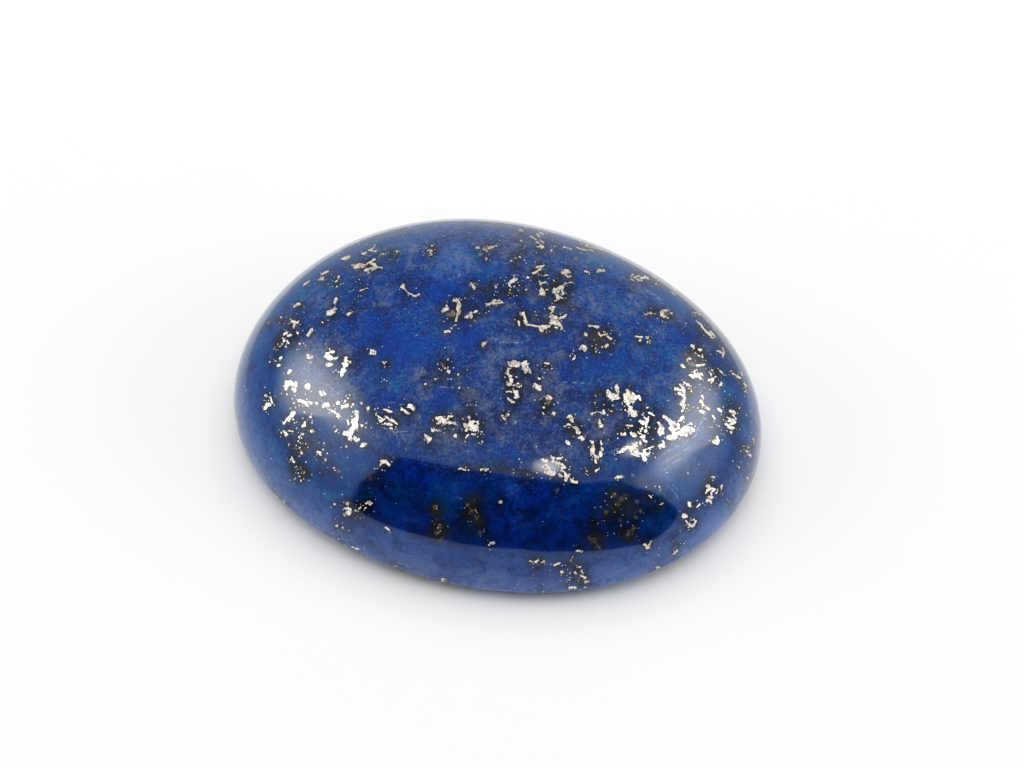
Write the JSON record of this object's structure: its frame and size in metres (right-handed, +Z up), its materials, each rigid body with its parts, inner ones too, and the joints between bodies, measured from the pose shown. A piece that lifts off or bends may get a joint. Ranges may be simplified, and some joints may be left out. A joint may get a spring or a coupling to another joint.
{
  "type": "polished lapis lazuli cabochon stone",
  "caption": "Polished oval dome of blue lapis lazuli with brassy pyrite flecks, rounded at its lower edge and flat underneath, so it rests on its base.",
  "frame": {"origin": "middle of the flat base's outline box, on the surface the stone rests on", "axes": "+X along the stone's length, +Y across it, +Z up out of the dome"},
  "size_m": [0.025, 0.019, 0.009],
  "materials": {
    "lapis_lazuli": "polished deep ultramarine with clouded lighter and greyer zones and flush metallic pyrite flecks"
  },
  "bodies": {
    "root": {"stone": "lapis_lazuli"}
  },
  "joints": []
}
